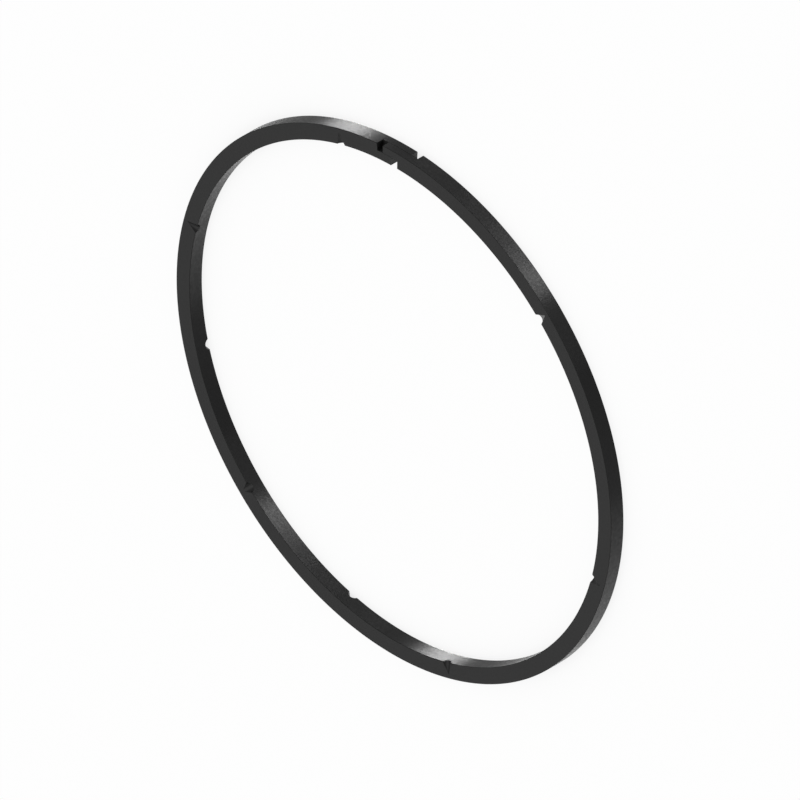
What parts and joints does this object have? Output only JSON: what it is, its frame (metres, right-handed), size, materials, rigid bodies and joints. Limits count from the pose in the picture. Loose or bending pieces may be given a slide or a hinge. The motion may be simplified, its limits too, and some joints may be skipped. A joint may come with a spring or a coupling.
{
  "type": "sealing ring",
  "caption": "Split sealing ring of rectangular section, with a step-cut joint and small tapered notches in both edges of its bore.",
  "frame": {"origin": "on the ring's axis, in the plane of its back face", "axes": "+Z along the ring's axis, from the back face to the front face; +X from the axis to the centre of the joint"},
  "size_m": [0.104, 0.104, 0.003],
  "materials": {
    "ring": "black filled plastic with a satin sheen"
  },
  "bodies": {
    "root": {"sealing_ring": "ring"}
  },
  "joints": []
}
